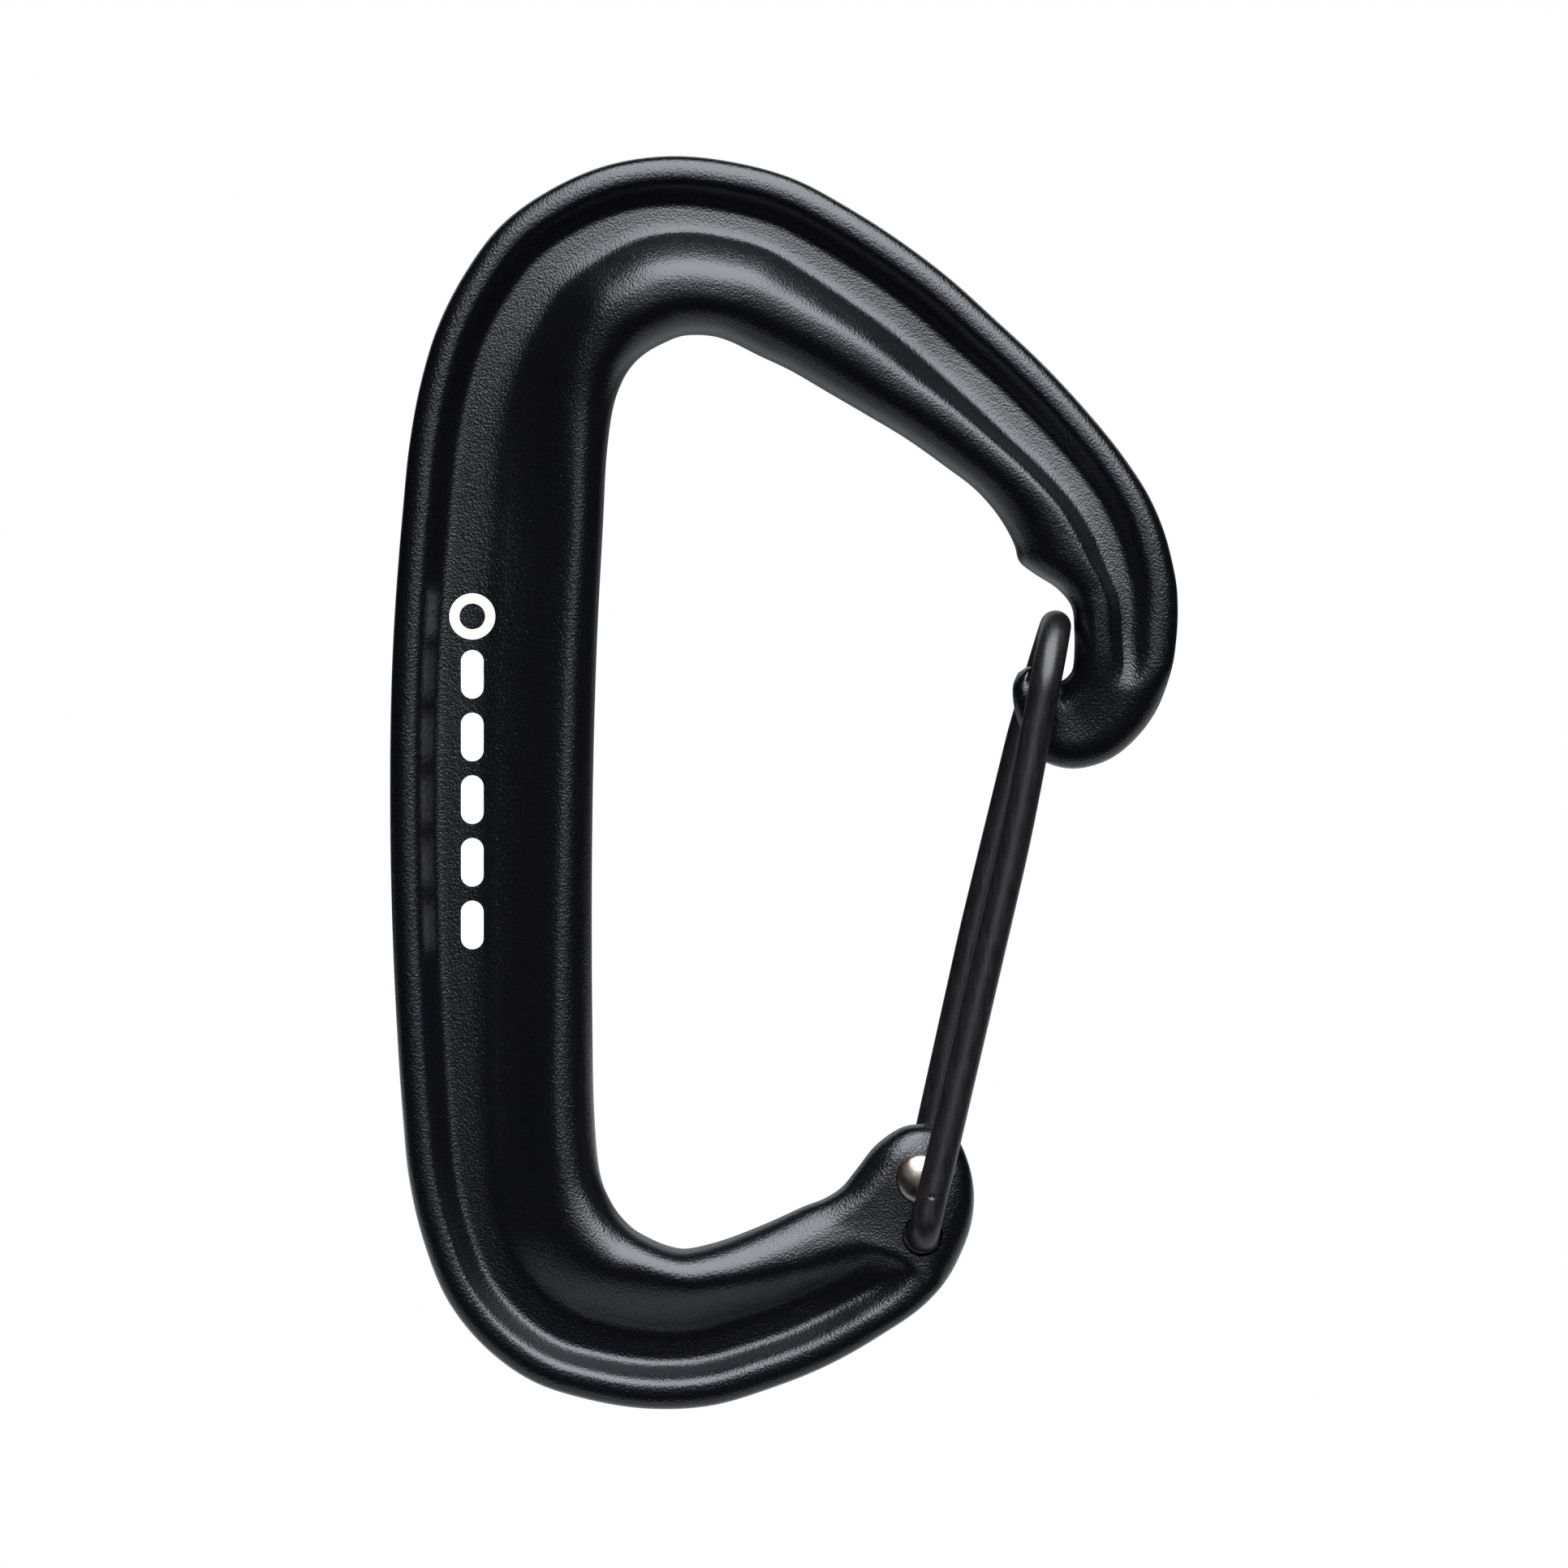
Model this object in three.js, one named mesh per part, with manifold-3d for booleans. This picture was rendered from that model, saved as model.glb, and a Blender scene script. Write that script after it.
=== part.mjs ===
// Wiregate carabiner: a forged bar bent into an offset D, closed by a sprung wire gate.
// Millimetres. +X points from the spine to the gate, +Y from the front face to the back, +Z to the crown.
// The origin is the point inside the crown where a rope or sling bears.
import * as THREE from 'three';
import { mergeVertices } from 'three/addons/utils/BufferGeometryUtils.js';
import Module from 'manifold-3d';

const wasm = await Module();
wasm.setup();

// Overall sizes of the forged frame.
const FRAME_LENGTH = 80;
const FRAME_WIDTH = 50.3;

// The bar: an outer bead, a thin web and a thick inner flange that ropes run over. The bead stands lower
// than the flange by at least a share of the flange's height, and runs down into the web.
const BEAD_THICKNESS = 5.2;
const BEAD_CREST = 1.4;
const BEAD_WIDTH = 3.3;
const BEAD_DROP = 0.16;
const RIM_WIDTH = 2;

// The web climbs towards the flange at a slight slope, and meets it in a fillet that lifts it at the end.
const WEB_THICKNESS = 2.4;
const WEB_TILT = 0.12;
const WEB_FILLET = 0.2;
const FILLET_POWER = 5;

// Where the bar is narrow, the bead takes at most this share of the way to the flange, and the bead's
// crest lies within this share of the bead.
const BEAD_ROOM = 0.9;
const CREST_ROOM = 0.4;

// How square the rounded edges are: 1 is an ellipse, and less is squarer.
const BEAD_FULLNESS = 0.3;
const RIM_FULLNESS = 0.5;
const FLANGE_FULLNESS = 0.75;

// The share of the flange's slope that its first straight run takes, and the channel depth below which
// the bar's section fades into a plain one.
const FLANGE_RUN = 0.5;
const CHANNEL_FADE = 0.3;

// The hinge lug and the hooked nose, whose blade is a step thicker than the barb at its tip.
const LUG_THICKNESS = 5;
const BARB_THICKNESS = 3.6;
const BLADE_STEP = 0.4;

// The gate: one bent wire, with each end headed over in its own hole in the lug.
const WIRE_DIAMETER = 2;
const PIVOT_SPACING = 3.6;
const REAR_PIVOT_SETBACK = 0.1;
const FOOT_BEND_RADIUS = 1.15;
const LOOP_FLAT = 0.2;
const LEG_BEND_RADIUS = 150;
const FRONT_LEG_BOW = 0.36;
const FRONT_BOW_SHARE = 0.65;
const REAR_LEG_BOW = -0.35;
const REAR_BOW_SHARE = 0.45;
const HEAD_DIAMETER = 3.2;
const HEAD_HEIGHT = 0.6;
const HEAD_DOME_ANGLES = [1.35, 0.9, 0.45, 0];
const SEAM_HEIGHT = 31.5;

// Clearances between the gate and the frame, and across the seam in the wire.
const HOLE_CLEARANCE = 0.25;
const HEAD_CLEARANCE = 0.15;
const LEG_CLEARANCE = 0.25;
const BARB_CLEARANCE = 1.7;
const SEAT_CLEARANCE = 0.2;
const SEAM_GAP = 0.3;

// Fineness of the solids.
const RING_STEP = 2;
const WIRE_SIDES = 14;
const HOLE_SIDES = 24;
const BEND_STEP = Math.PI / 12;

// The layout below is drawn for this frame size, and stretched to the sizes above.
const LAYOUT_LENGTH = 80;
const LAYOUT_WIDTH = 50.3;
const LAYOUT_PIVOT = new THREE.Vector2(14.5, -57.5);
const LAYOUT_SEAT = new THREE.Vector2(23, -18.6);

// What the overall sizes stretch: from the basket's centre line to the crown's, and from the spine's to
// the seat.
const BASKET_TO_CROWN = 69.1;
const SPINE_TO_SEAT = 36;

const wireRadius = WIRE_DIAMETER / 2;
const pocketWall = LAYOUT_SEAT.x + wireRadius + SEAT_CLEARANCE;
const bladeThickness = BARB_THICKNESS + BLADE_STEP;

// Stations along the bar, from the tip of the lug round to the tip of the barb:
// outer edge x, z; inner edge x, z; distance from the outer edge to the foot of the flange and to its
// crest; slope of the flange at its foot; width of its outer round; thickness of the bar; depth of its
// channel, from 0 to 1.
const LUG = [
  [15.2, -50.4, 14.6, -50.4, 0.2, 0.4, 0.4, 0.1, 0.8, 0],
  [16.5, -51.1, 13.3, -50.6, 1.2, 1.8, 0.4, 0.5, 0.68 * LUG_THICKNESS, 0],
  [17.4, -52.8, 11.6, -51.7, 2.5, 4, 0.4, 1, 0.95 * LUG_THICKNESS, 0],
  [17.8, -54.9, 10.3, -53.3, 3.5, 5.5, 0.4, 1.1, LUG_THICKNESS, 0],
  [17.6, -56.9, 9.3, -54.5, 4, 6.5, 0.6, 1.1, LUG_THICKNESS, 0],
  [17, -58.6, 8.2, -55.2, 4.4, 7.2, 0.9, 1.1, LUG_THICKNESS, 0],
  [16.1, -60.3, 6.9, -55.7, 4.7, 7.7, 1.1, 1.1, LUG_THICKNESS + 0.1, 0.08],
  [14.9, -61.7, 5.6, -56.3, 5, 8.1, 1.1, 1.1, LUG_THICKNESS + 0.5, 0.55],
];
const BASKET = [
  [11.7, -64, 3.5, -57.2, 5.1, 8.2, 0.9, 0.9, 6.2, 0.95],
  [8.3, -65.9, 1.9, -57.8, 5.1, 8.1, 0.85, 0.9, 6.8, 1],
  [4.8, -67.3, 0.5, -58.2, 5.1, 8.1, 0.85, 0.9, 7.3, 1],
  [1, -68.4, -0.7, -58.4, 5.1, 8.3, 0.85, 0.9, 7.6, 1],
  [-3, -68.6, -1.8, -58.2, 5.2, 8.7, 0.85, 0.9, 7.7, 1],
  [-6.9, -68, -3, -57.7, 5.3, 9.1, 0.8, 0.9, 7.6, 1],
  [-10.5, -66.8, -4, -57.1, 5.4, 9.3, 0.75, 1, 7.4, 1],
  [-13.3, -64.8, -4.8, -56.3, 5.4, 9.6, 0.7, 1, 7.2, 1],
  [-15.7, -61.9, -5.4, -55.4, 5.4, 9.8, 0.6, 1.1, 7, 1],
  [-17.4, -57.8, -6, -54, 5.4, 9.8, 0.45, 1, 6.8, 1],
];
const SPINE = [
  [-18.3, -53.9, -6.3, -52.2, 5.6, 9.9, 0.3, 1, 6.8, 1],
  [-18.7, -49.9, -6.5, -49.1, 5.8, 10, 0.25, 1, 6.8, 1],
  [-19.1, -43.8, -6.6, -43.7, 6.1, 10.4, 0.25, 0.9, 6.8, 1],
  [-19.5, -31.6, -6.6, -31.6, 6.5, 11.1, 0.25, 0.9, 6.8, 1],
  [-19.3, -19.3, -6.3, -19.6, 6.6, 11.3, 0.25, 0.9, 6.8, 1],
  [-18.7, -11.2, -5.9, -11.8, 6.5, 11.2, 0.25, 1, 6.9, 1],
];
const CROWN = [
  [-18.3, -7.2, -5.7, -7.9, 6.3, 10.9, 0.35, 1.1, 7, 1],
  [-17.6, -3.3, -5.3, -4.8, 6.1, 10.4, 0.5, 1.2, 7.2, 1],
  [-16.5, 0.4, -4.7, -3, 6, 10, 0.75, 1.3, 7.6, 1],
  [-14.8, 3.8, -4, -1.9, 5.9, 9.8, 1, 1.4, 8, 1],
  [-12.4, 7, -3.1, -1.1, 5.7, 9.6, 1.25, 1.4, 8.4, 1],
  [-9.2, 9.3, -2, -0.5, 5.5, 9.4, 1.4, 1.4, 8.7, 1],
  [-5.7, 10.8, -1, -0.1, 5.2, 9.1, 1.5, 1.4, 8.8, 1],
  [-1.7, 11.4, 0, 0, 5, 8.8, 1.5, 1.4, 8.8, 1],
  [2.5, 11, 1.2, -0.1, 4.9, 8.6, 1.5, 1.4, 8.7, 1],
  [6.4, 9.9, 2.4, -0.5, 4.9, 8.4, 1.45, 1.5, 8.5, 1],
];
const ARM = [
  [9.6, 8.2, 4, -1.3, 5, 8.2, 1.4, 1.5, 8.2, 1],
  [12.9, 6.1, 6.1, -2.3, 5.1, 8, 1.35, 1.5, 7.9, 1],
  [16.1, 3.7, 8.5, -3.7, 5.1, 7.8, 1.3, 1.5, 7.6, 1],
  [19.1, 1, 10.9, -5.1, 5.1, 7.6, 1.25, 1.5, 7.3, 1],
  [22.1, -1.8, 13.4, -6.6, 5.2, 7.3, 1.2, 1.4, 7, 0.9],
  [24.9, -4.8, 15.8, -8.3, 5.2, 7, 1.2, 1.2, 6.8, 0.8],
  [27.4, -7.9, 18.1, -10.1, 5, 6.7, 1.1, 1.1, 6.7, 0.7],
  [29, -10.4, 19.5, -11.8, 4.8, 6.4, 1.1, 1, 6.6, 0.62],
];
const NOSE = [
  [30, -12.8, 20.4, -13.5, 4.6, 6.2, 1.1, 0.9, 6.5, 0.55],
  [30.4, -14.3, 20.7, -14.5, 4.5, 6, 1.1, 0.9, 6.4, 0.51],
  [30.7, -15.8, 21.7, -15.3, 4.3, 5.7, 1.1, 0.9, 6.2, 0.47],
  [30.8, -17.1, 23.1, -16.2, 4, 5.5, 1.1, 0.9, 6, 0.43],
  [30.8, -18.2, 24, -17.3, 3.8, 5.3, 1.1, 0.9, 5.9, 0.4],
  [30.7, -19.6, pocketWall, -18.9, 3.6, 5.1, 1.1, 0.9, 5.7, 0.36],
  [30.5, -21, pocketWall, -20.3, 3.3, 4.8, 1, 0.9, 5.5, 0.28],
  [30.1, -22.4, pocketWall - 0.1, -21.3, 3, 4.5, 1, 0.9, 5.2, 0.18],
  [29.5, -23.9, 23.8, -21.8, 2.7, 4.3, 0.8, 1, 4.9, 0.06],
  [28.4, -25.5, 23.4, -22.1, 2.4, 4, 0.6, 1, 4.6, 0],
  [26.3, -27.2, 22.9, -22.3, 2, 3.8, 0.4, 1, 1.05 * bladeThickness, 0],
  [23.7, -27.7, 22.4, -22.3, 1.9, 3.5, 0.4, 1, bladeThickness, 0],
  [21.7, -26.9, 22, -22.2, 1.8, 3, 0.4, 1, BARB_THICKNESS, 0],
  [20.7, -25, 21.8, -21.8, 1.2, 2, 0.4, 0.6, BARB_THICKNESS, 0],
  [20.3, -23.4, 21.7, -21.5, 0.6, 1, 0.4, 0.3, 0.95 * BARB_THICKNESS, 0],
  [20.3, -22.3, 21.5, -21.2, 0.6, 1, 0.4, 0.3, 0.75 * BARB_THICKNESS, 0],
  [20.6, -21.6, 21.2, -21.2, 0.1, 0.3, 0.4, 0.1, 0.3 * BARB_THICKNESS, 0],
];
const STATIONS = [...LUG, ...BASKET, ...SPINE, ...CROWN, ...ARM, ...NOSE];

function mix(from, to, share) {
  return from + (to - from) * share;
}

// ---- Stretching the layout to the frame's own length and width

// The bar keeps its widths, so only the distances between its centre lines are stretched.
const stretchX = (FRAME_WIDTH - LAYOUT_WIDTH) / SPINE_TO_SEAT;
const stretchZ = (FRAME_LENGTH - LAYOUT_LENGTH) / BASKET_TO_CROWN;

// The lug and the nose keep their shape out to the near radius, and give way up to the far one.
const RIGID_NEAR = 9;
const RIGID_FAR = 17;

function shiftOf(point) {
  return new THREE.Vector2(point.x * stretchX, point.y * stretchZ);
}

function placed(point) {
  const shift = shiftOf(point);
  for (const anchor of [LAYOUT_PIVOT, LAYOUT_SEAT]) {
    const hold = 1 - THREE.MathUtils.smoothstep(point.distanceTo(anchor), RIGID_NEAR, RIGID_FAR);
    shift.lerp(shiftOf(anchor), hold);
  }
  return point.clone().add(shift);
}

const pivot = placed(LAYOUT_PIVOT);
const rearPivot = pivot.clone().add(new THREE.Vector2(-REAR_PIVOT_SETBACK, PIVOT_SPACING));
const seat = placed(LAYOUT_SEAT);

// ---- Lofting closed solids through rings of points

// Rings all have the same number of points; the two end rings are closed by fans.
function loft(rings) {
  const count = rings[0].length;
  const positions = rings.flat().flatMap((point) => [point.x, point.y, point.z]);
  const index = [];
  for (let ring = 0; ring < rings.length - 1; ring += 1) {
    for (let side = 0; side < count; side += 1) {
      const here = ring * count + side;
      const next = ring * count + ((side + 1) % count);
      index.push(here, next, next + count, here, next + count, here + count);
    }
  }
  const lastStart = (rings.length - 1) * count;
  for (let side = 1; side < count - 1; side += 1) {
    index.push(0, side + 1, side);
    index.push(lastStart, lastStart + side, lastStart + side + 1);
  }
  if (signedVolume(positions, index) < 0) {
    index.reverse();
  }
  const geometry = new THREE.BufferGeometry();
  geometry.setAttribute('position', new THREE.Float32BufferAttribute(positions, 3));
  geometry.setIndex(index);
  return geometry;
}

function signedVolume(positions, index) {
  const corner = (which) => new THREE.Vector3().fromArray(positions, 3 * index[which]);
  let volume = 0;
  for (let face = 0; face < index.length; face += 3) {
    volume += corner(face).dot(corner(face + 1).cross(corner(face + 2))) / 6;
  }
  return volume;
}

// ---- The forged frame

function arc(from, to, steps) {
  return Array.from({ length: steps + 1 }, (_, step) => mix(from, to, step / steps));
}

// A rounded edge, from the middle of its wall up to the face: [distance from the edge, half thickness].
function rimCurve(width, half, fullness, steps) {
  return arc(0, Math.PI / 2, steps).map((angle) => [
    width * (1 - Math.cos(angle)), half * Math.sin(angle) ** fullness,
  ]);
}

// The rounded inner edge, from the crest down to the middle of the inner wall.
function innerRim(width, half, crest, steps) {
  const curve = rimCurve(width - crest, half, FLANGE_FULLNESS, steps).slice(0, -1).reverse();
  return curve.map(([distance, height]) => [width - distance, height]);
}

// Half of a plain section, from outer to inner edge: [distance from the outer edge, half thickness].
function plainSection(width, half, crest, steps) {
  const rim = Math.min(RIM_WIDTH, crest);
  const flatSteps = steps.bead + steps.web + steps.flange;
  const flat = arc(rim, crest, flatSteps).slice(1).map((distance) => [distance, half]);
  const outerRound = rimCurve(rim, half, RIM_FULLNESS, steps.rim);
  return [...outerRound, ...flat, ...innerRim(width, half, crest, steps.rim)];
}

// Half of a channelled section: bead, web and flange, in the same steps as the plain section.
function beamSection(width, half, foot, crest, start, round, channel, steps) {
  const beadHalf = Math.min(BEAD_THICKNESS / 2, half * (1 - BEAD_DROP * channel));
  const beadEnd = Math.min(BEAD_WIDTH, BEAD_ROOM * foot);
  const beadCrest = Math.min(BEAD_CREST, CREST_ROOM * beadEnd);
  const webHalf = mix(beadHalf, WEB_THICKNESS / 2, channel);
  const tilt = WEB_TILT * (foot - beadEnd);
  const fillet = WEB_FILLET * Math.max(channel, 0);
  const footHalf = webHalf + tilt + fillet;
  const outerRound = rimCurve(beadCrest, beadHalf, BEAD_FULLNESS, steps.rim);
  const beadSlope = arc(0, 1, steps.bead).slice(1).map((share) => [
    mix(beadCrest, beadEnd, share), mix(beadHalf, webHalf, THREE.MathUtils.smootherstep(share, 0, 1)),
  ]);
  const web = arc(0, 1, steps.web).slice(1).map((share) => [
    mix(beadEnd, foot, share), webHalf + tilt * share + fillet * share ** FILLET_POWER,
  ]);
  const run = FLANGE_RUN * (crest - foot);
  const slopeCurve = new THREE.CubicBezierCurve(
    new THREE.Vector2(foot, footHalf),
    new THREE.Vector2(foot + run, Math.min(footHalf + run * start, half)),
    new THREE.Vector2(crest - round, half),
    new THREE.Vector2(crest, half),
  );
  const slope = slopeCurve.getPoints(steps.flange).slice(1).map((point) => point.toArray());
  return [...outerRound, ...beadSlope, ...web, ...slope, ...innerRim(width, half, crest, steps.rim)];
}

const SECTION_STEPS = { rim: 4, bead: 3, web: 2, flange: 4 };

// One closed ring of the bar at a station: the front half from outer to inner edge, then the back half.
function barRing(station) {
  const [outerX, outerZ, innerX, innerZ, foot, crest, start, round, thickness, channel] = station;
  const outer = new THREE.Vector2(outerX, outerZ);
  const inner = new THREE.Vector2(innerX, innerZ);
  const centre = outer.clone().lerp(inner, 0.5);
  const shift = placed(centre).sub(centre);
  const width = outer.distanceTo(inner);
  const plain = plainSection(width, thickness / 2, crest, SECTION_STEPS);
  const beam = beamSection(width, thickness / 2, foot, crest, start, round, channel, SECTION_STEPS);
  const share = THREE.MathUtils.smootherstep(channel, 0, CHANNEL_FADE);
  const front = plain.map(([distance, half], step) => {
    const along = mix(distance, beam[step][0], share) / width;
    const spot = outer.clone().lerp(inner, along).add(shift);
    return new THREE.Vector3(spot.x, -mix(half, beam[step][1], share), spot.y);
  });
  const back = front.slice(1, -1).reverse().map((point) => point.clone().setY(-point.y));
  return [...front, ...back];
}

// The longer of the ways from station to station along the two edges.
function gapBetween(from, to) {
  const outerGap = Math.hypot(to[0] - from[0], to[1] - from[1]);
  const innerGap = Math.hypot(to[2] - from[2], to[3] - from[3]);
  return Math.max(outerGap, innerGap);
}

// Slope of every station value along the bar, from a parabola through the neighbouring stations.
function slopeAt(stations, lengths, at) {
  const before = Math.max(at - 1, 0);
  const after = Math.min(at + 1, stations.length - 1);
  return stations[at].map((value, column) => {
    const rise = (from, to) => (
      (stations[to][column] - stations[from][column]) / (lengths[to] - lengths[from])
    );
    if (before === at) {
      return rise(at, after);
    }
    if (after === at) {
      return rise(before, at);
    }
    const back = lengths[at] - lengths[before];
    const ahead = lengths[after] - lengths[at];
    return (rise(before, at) * ahead + rise(at, after) * back) / (back + ahead);
  });
}

// Smooth values between two stations, as a cubic that keeps both end slopes.
function between(from, to, fromSlope, toSlope, gap, share) {
  const square = share * share;
  const cube = square * share;
  return from.map((value, column) => (2 * cube - 3 * square + 1) * value
    + (cube - 2 * square + share) * gap * fromSlope[column]
    + (3 * square - 2 * cube) * to[column]
    + (cube - square) * gap * toSlope[column]);
}

function barRings(stations) {
  const lengths = [0];
  for (let at = 1; at < stations.length; at += 1) {
    lengths.push(lengths[at - 1] + gapBetween(stations[at - 1], stations[at]));
  }
  const rings = [barRing(stations[0])];
  for (let at = 1; at < stations.length; at += 1) {
    const gap = lengths[at] - lengths[at - 1];
    const steps = Math.max(1, Math.round(gap / RING_STEP));
    const fromSlope = slopeAt(stations, lengths, at - 1);
    const toSlope = slopeAt(stations, lengths, at);
    for (let step = 1; step <= steps; step += 1) {
      const values = between(stations[at - 1], stations[at], fromSlope, toSlope, gap, step / steps);
      rings.push(barRing(values));
    }
  }
  return rings;
}

function pivotDrill(centre) {
  const holeRadius = wireRadius + HOLE_CLEARANCE;
  const drill = new THREE.CylinderGeometry(holeRadius, holeRadius, 3 * LUG_THICKNESS, HOLE_SIDES);
  drill.translate(centre.x, 0, centre.y);
  return drill;
}

function toSolid(geometry) {
  geometry.deleteAttribute('normal');
  geometry.deleteAttribute('uv');
  const merged = mergeVertices(geometry, 1e-4);
  return new wasm.Manifold(new wasm.Mesh({
    numProp: 3,
    vertProperties: new Float32Array(merged.attributes.position.array),
    triVerts: new Uint32Array(merged.index.array),
  }));
}

function toGeometry(solid) {
  const mesh = solid.getMesh();
  const geometry = new THREE.BufferGeometry();
  geometry.setAttribute('position', new THREE.Float32BufferAttribute(mesh.vertProperties, 3));
  geometry.setIndex(Array.from(mesh.triVerts));
  return geometry;
}

function forgedFrame() {
  let solid = toSolid(loft(barRings(STATIONS)));
  for (const centre of [pivot, rearPivot]) {
    solid = solid.subtract(toSolid(pivotDrill(centre)));
  }
  return toGeometry(solid);
}

// ---- The wire gate

// How far the legs stand from the mid-plane: outside the heads at the lug, outside the barb at the nose.
const headBase = LUG_THICKNESS / 2 + HEAD_CLEARANCE;
const lugSide = headBase + HEAD_HEIGHT + LEG_CLEARANCE + wireRadius;
const noseSide = BARB_THICKNESS / 2 + BARB_CLEARANCE + wireRadius;

// The loop is two bends with a short flat between them.
const loopBendRadius = noseSide - LOOP_FLAT / 2;

function legPoint(foot, share, bow, side) {
  const spot = foot.clone().lerp(seat, share);
  return new THREE.Vector3(spot.x + bow, side * mix(lugSide, noseSide, share), spot.y);
}

// Centre line through corners [point, bend radius], each corner rounded by an arc.
function bentPath(corners) {
  const path = [corners[0][0]];
  for (let at = 1; at < corners.length - 1; at += 1) {
    const [corner, radius] = corners[at];
    const inward = corners[at - 1][0].clone().sub(corner).normalize();
    const outward = corners[at + 1][0].clone().sub(corner).normalize();
    const turn = Math.PI - inward.angleTo(outward);
    const reach = radius / Math.cos(turn / 2);
    const centre = inward.clone().add(outward).normalize().multiplyScalar(reach).add(corner);
    const start = corner.clone().addScaledVector(inward, radius * Math.tan(turn / 2)).sub(centre);
    const axis = outward.clone().cross(inward).normalize();
    const steps = Math.max(2, Math.ceil(turn / BEND_STEP));
    for (let step = 0; step <= steps; step += 1) {
      path.push(start.clone().applyAxisAngle(axis, turn * step / steps).add(centre));
    }
  }
  path.push(corners[corners.length - 1][0]);
  return path;
}

// Rings of a round wire along a centre line, turned as little as possible from one to the next.
function wireRings(path) {
  const directions = path.map((point, at) => {
    const before = path[Math.max(at - 1, 0)];
    const after = path[Math.min(at + 1, path.length - 1)];
    return after.clone().sub(before).normalize();
  });
  const across = new THREE.Vector3(0, 0, 1).cross(directions[0]).normalize();
  return path.map((point, at) => {
    const turn = new THREE.Quaternion().setFromUnitVectors(directions[Math.max(at - 1, 0)], directions[at]);
    across.applyQuaternion(turn);
    const up = directions[at].clone().cross(across);
    return ringAround(point, across, up, wireRadius);
  });
}

function ringAround(centre, across, up, radius) {
  return Array.from({ length: WIRE_SIDES }, (_, side) => {
    const angle = 2 * Math.PI * side / WIRE_SIDES;
    return centre.clone()
      .addScaledVector(across, radius * Math.cos(angle))
      .addScaledVector(up, radius * Math.sin(angle));
  });
}

// The domed head that a wire's first ring swells into, outside the lug's cheek.
function headRings(firstRing, foot, side) {
  const centre = new THREE.Vector3(foot.x, side * headBase, foot.y);
  const grown = (radius, height) => firstRing.map((point) => {
    const spoke = point.clone().sub(centre).multiplyScalar(radius / wireRadius);
    return centre.clone().add(spoke).add(new THREE.Vector3(0, side * height, 0));
  });
  return HEAD_DOME_ANGLES.map((angle) => grown(
    HEAD_DIAMETER / 2 * Math.cos(angle),
    HEAD_HEIGHT * Math.sin(angle),
  ));
}

const backward = 1;
const forward = -1;

// The front leg, the loop that hooks behind the nose, and the top of the rear leg down to the seam.
const rearLegLength = seat.distanceTo(rearPivot);
const seamShare = SEAM_HEIGHT / rearLegLength;
const gapShare = SEAM_GAP / rearLegLength;

function frontWire() {
  const footStart = new THREE.Vector3(pivot.x, backward * headBase, pivot.y);
  const path = bentPath([
    [footStart],
    [legPoint(pivot, 0, 0, forward), FOOT_BEND_RADIUS],
    [legPoint(pivot, FRONT_BOW_SHARE, FRONT_LEG_BOW, forward), LEG_BEND_RADIUS],
    [legPoint(pivot, 1, 0, forward), loopBendRadius],
    [legPoint(rearPivot, 1, 0, backward), loopBendRadius],
    [legPoint(rearPivot, seamShare, REAR_LEG_BOW, backward)],
  ]);
  const rings = wireRings(path);
  return loft([...headRings(rings[0], pivot, backward), ...rings]);
}

// The rear leg below the seam, with its foot and the head on the front face.
function rearWire() {
  const footStart = new THREE.Vector3(rearPivot.x, forward * headBase, rearPivot.y);
  const path = bentPath([
    [footStart],
    [legPoint(rearPivot, 0, 0, backward), FOOT_BEND_RADIUS],
    [legPoint(rearPivot, REAR_BOW_SHARE, REAR_LEG_BOW, backward), LEG_BEND_RADIUS],
    [legPoint(rearPivot, seamShare - gapShare, REAR_LEG_BOW, backward)],
  ]);
  const rings = wireRings(path);
  return loft([...headRings(rings[0], rearPivot, forward), ...rings]);
}

// ---- The named pieces

const anodised = { color: 0x26272a, roughness: 0.42, metalness: 0.8 };
const gateSteel = { color: 0x4a4745, roughness: 0.35, metalness: 0.9 };

function piece(name, geometry, look) {
  geometry.computeVertexNormals();
  const mesh = new THREE.Mesh(geometry, new THREE.MeshStandardMaterial(look));
  mesh.name = name;
  return mesh;
}

const carabiner = new THREE.Group();
carabiner.add(piece('forged_frame', forgedFrame(), anodised));
carabiner.add(piece('gate_front_wire', frontWire(), gateSteel));
carabiner.add(piece('gate_rear_wire', rearWire(), gateSteel));

export default carabiner;
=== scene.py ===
"""Looks of the wiregate carabiner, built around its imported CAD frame, in metres and in the CAD's own axes."""

import math

import bpy
import numpy as np
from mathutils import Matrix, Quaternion, Vector


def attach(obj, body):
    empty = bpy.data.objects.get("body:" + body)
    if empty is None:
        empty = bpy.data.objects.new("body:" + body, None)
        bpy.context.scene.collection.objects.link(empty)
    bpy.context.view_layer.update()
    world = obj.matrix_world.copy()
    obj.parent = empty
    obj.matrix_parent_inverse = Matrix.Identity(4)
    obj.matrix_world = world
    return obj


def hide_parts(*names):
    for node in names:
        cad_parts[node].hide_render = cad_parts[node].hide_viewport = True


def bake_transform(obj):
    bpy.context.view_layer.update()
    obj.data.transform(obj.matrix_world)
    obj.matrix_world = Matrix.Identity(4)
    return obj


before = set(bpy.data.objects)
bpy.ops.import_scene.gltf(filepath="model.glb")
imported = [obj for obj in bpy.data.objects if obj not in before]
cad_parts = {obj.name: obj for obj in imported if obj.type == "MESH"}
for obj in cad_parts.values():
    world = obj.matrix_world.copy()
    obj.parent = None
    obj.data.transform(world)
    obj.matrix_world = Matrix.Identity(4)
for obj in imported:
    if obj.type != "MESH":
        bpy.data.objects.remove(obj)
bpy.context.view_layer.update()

MM = 0.001

# ---- Sizes, in millimetres, as in the CAD model

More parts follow.
